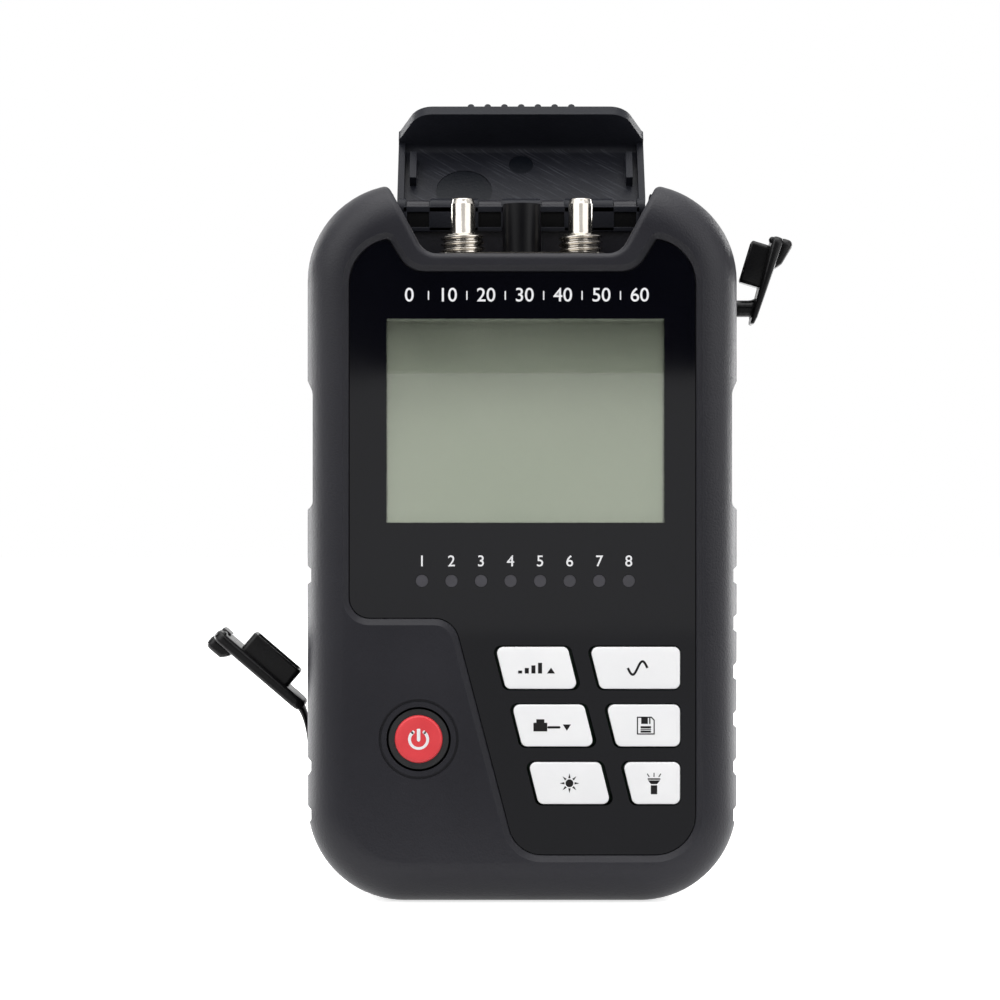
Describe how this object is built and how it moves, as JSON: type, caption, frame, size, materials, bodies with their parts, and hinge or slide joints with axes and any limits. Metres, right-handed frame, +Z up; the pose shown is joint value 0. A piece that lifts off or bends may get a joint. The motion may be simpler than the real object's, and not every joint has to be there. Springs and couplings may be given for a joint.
{
  "type": "optical power meter",
  "caption": "Hand-held optical power meter: display, keys and indicator lamps, twin fibre ports and a torch under a hinged cap, and covered network and charge sockets in the sides.",
  "frame": {"origin": "middle of the flat bottom that the meter stands on", "axes": "+Z up the long side, -Y the display side, +X the user's right"},
  "size_m": [0.1036, 0.0398, 0.1432],
  "materials": {
    "case": "moulded, fine texture",
    "panel": "glossy printed acrylic",
    "window": "clear",
    "lcd": "grey-green liquid crystal",
    "backlight": "white light guide",
    "light_pipe": "smoked clear",
    "key_white": "painted silicone",
    "key_red": "smooth",
    "rubber_black": "smooth",
    "cap": "moulded",
    "nickel": "nickel plate",
    "ceramic": "white ceramic",
    "steel": "plain",
    "gold": "gold plate",
    "torch_black": "black",
    "torch_clear": "clear",
    "board": "solder mask",
    "chip": "moulded",
    "battery": "shrink film"
  },
  "bodies": {
    "case": {"front_case": "case", "back_case": "case", "display_panel": "panel", "lcd_window": "window", "lcd_glass": "lcd", "lcd_backlight": "backlight", "light_pipes": "light_pipe", "keypad_mat": "rubber_black", "network_cover_strap": "rubber_black", "detector_adapter": "nickel", "laser_adapter": "nickel", "port_bracket": "nickel", "charge_socket": "nickel", "detector_ceramic_sleeve": "ceramic", "laser_ceramic_sleeve": "ceramic", "case_screw_1": "steel", "case_screw_2": "steel", "case_screw_3": "steel", "case_screw_4": "steel", "detector_module": "steel", "laser_module": "steel", "jack_contacts": "gold", "battery_contacts": "gold", "torch_tube": "torch_black", "torch_lens": "torch_clear", "torch_led": "torch_clear", "main_board": "board", "control_chip": "chip", "buzzer": "chip", "network_jack": "chip", "charge_tongue": "chip", "battery_pack": "battery"},
    "port_cap": {"port_cap": "cap", "cap_hinge_pin": "steel"},
    "network_cover": {"network_jack_cover": "rubber_black"},
    "charge_stalk": {"charge_cover_stalk": "rubber_black"},
    "charge_cover": {"charge_socket_cover": "rubber_black"},
    "power_key": {"power_key_collar": "rubber_black", "power_key_cap": "key_red"},
    "battery_door": {"battery_door": "case"},
    "key_reference": {"key_reference": "key_white"},
    "key_wavelength": {"key_wavelength": "key_white"},
    "key_cable_test": {"key_cable_test": "key_white"},
    "key_save": {"key_save": "key_white"},
    "key_backlight": {"key_backlight": "key_white"},
    "key_torch": {"key_torch": "key_white"}
  },
  "joints": [
    {"name": "port_cap_hinge", "type": "hinge", "parent": "case", "child": "port_cap", "pos_m": [0, 0.011, 0.123], "axis": [1, 0, 0], "range_deg": [0, 127]},
    {"name": "network_cover_hinge", "type": "hinge", "parent": "case", "child": "network_cover", "pos_m": [-0.038, 0.002, 0.0324], "axis": [0, 1, 0], "range_deg": [-60, 49.5]},
    {"name": "charge_cover_pull", "type": "slide", "parent": "case", "child": "charge_stalk", "axis": [1, 0, 0], "range_m": [-0.0028, 0]},
    {"name": "charge_cover_tilt", "type": "hinge", "parent": "charge_stalk", "child": "charge_cover", "pos_m": [0.0418, 0, 0.1044], "axis": [0, 1, 0], "range_deg": [-17, 60]},
    {"name": "power_key_press", "type": "slide", "parent": "case", "child": "power_key", "axis": [0, 1, 0], "range_m": [0, 0.0009], "stiffness_N_per_m": 1500},
    {"name": "key_reference_press", "type": "slide", "parent": "case", "child": "key_reference", "axis": [0, 1, 0], "range_m": [0, 0.0009], "stiffness_N_per_m": 1500},
    {"name": "key_wavelength_press", "type": "slide", "parent": "case", "child": "key_wavelength", "axis": [0, 1, 0], "range_m": [0, 0.0009], "stiffness_N_per_m": 1500},
    {"name": "key_cable_test_press", "type": "slide", "parent": "case", "child": "key_cable_test", "axis": [0, 1, 0], "range_m": [0, 0.0009], "stiffness_N_per_m": 1500},
    {"name": "key_save_press", "type": "slide", "parent": "case", "child": "key_save", "axis": [0, 1, 0], "range_m": [0, 0.0009], "stiffness_N_per_m": 1500},
    {"name": "key_backlight_press", "type": "slide", "parent": "case", "child": "key_backlight", "axis": [0, 1, 0], "range_m": [0, 0.0009], "stiffness_N_per_m": 1500},
    {"name": "key_torch_press", "type": "slide", "parent": "case", "child": "key_torch", "axis": [0, 1, 0], "range_m": [0, 0.0009], "stiffness_N_per_m": 1500},
    {"name": "battery_door_hinge", "type": "hinge", "parent": "case", "child": "battery_door", "pos_m": [0, 0.0145, 0.015], "axis": [-1, 0, 0], "range_deg": [0, 80]}
  ]
}
